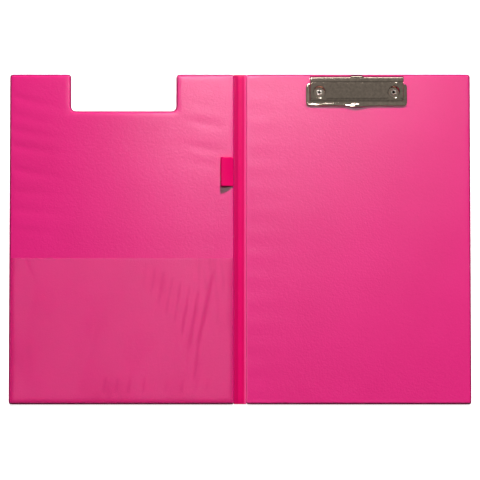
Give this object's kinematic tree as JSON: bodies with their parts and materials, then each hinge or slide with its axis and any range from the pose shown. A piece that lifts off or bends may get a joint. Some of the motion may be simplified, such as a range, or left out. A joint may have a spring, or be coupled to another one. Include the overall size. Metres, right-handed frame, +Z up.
{
  "type": "fold-over clipboard",
  "caption": "Pink fold-over clipboard lying open: plastic-covered boards on a soft spine, sprung steel clip, cover with clip cut-out, clear pocket and pen loop.",
  "frame": {"origin": "middle of the spine, on the surface that the open clipboard lies on", "axes": "+X from the spine towards the back cover that carries the clip, +Y towards the clip end, +Z up, out of the inner side"},
  "size_m": [0.475, 0.34, 0.01],
  "materials": {
    "greyboard": "plain grey stiffening board",
    "cover_plastic": "pink soft plastic sheet, fine linen emboss",
    "lining_plastic": "pink soft plastic sheet, fine linen emboss, satin",
    "spine_plastic": "pink soft plastic, smooth welded strip",
    "loop_plastic": "pink soft plastic strip, smooth",
    "pocket_film": "clear dull plastic film, lightly wrinkled",
    "nickel_plate": "nickel-plated sheet steel",
    "bright_steel": "bright plated steel",
    "spring_steel": "hard drawn spring wire"
  },
  "bodies": {
    "back_cover": {"back_board": "greyboard", "back_outer_skin": "cover_plastic", "back_inner_lining": "lining_plastic", "clip_base_plate": "nickel_plate", "hinge_pin": "bright_steel", "torsion_spring": "spring_steel", "clip_rivets": "bright_steel", "rivet_washers": "nickel_plate"},
    "spine": {"spine_outer_skin": "cover_plastic", "spine_inner_lining": "spine_plastic"},
    "front_cover": {"front_board": "greyboard", "front_outer_skin": "cover_plastic", "front_inner_lining": "lining_plastic", "document_pocket": "pocket_film", "pen_loop": "loop_plastic"},
    "clip_jaw": {"clip_jaw": "nickel_plate"}
  },
  "joints": [
    {"name": "spine_fold", "type": "hinge", "parent": "back_cover", "child": "spine", "pos_m": [0.0055, 0, 0.00035], "axis": [0, 1, 0], "range_deg": [-90, 90]},
    {"name": "cover_fold", "type": "hinge", "parent": "spine", "child": "front_cover", "pos_m": [-0.0055, 0, 0.00035], "axis": [0, 1, 0], "range_deg": [-90, 90]},
    {"name": "jaw_hinge", "type": "hinge", "parent": "back_cover", "child": "clip_jaw", "pos_m": [0.12, 0.1641, 0.007], "axis": [-1, 0, 0], "range_deg": [0, 40], "stiffness_Nm_per_rad": 0.3, "springref_deg": -45.84, "deforming": ["torsion_spring"]}
  ]
}
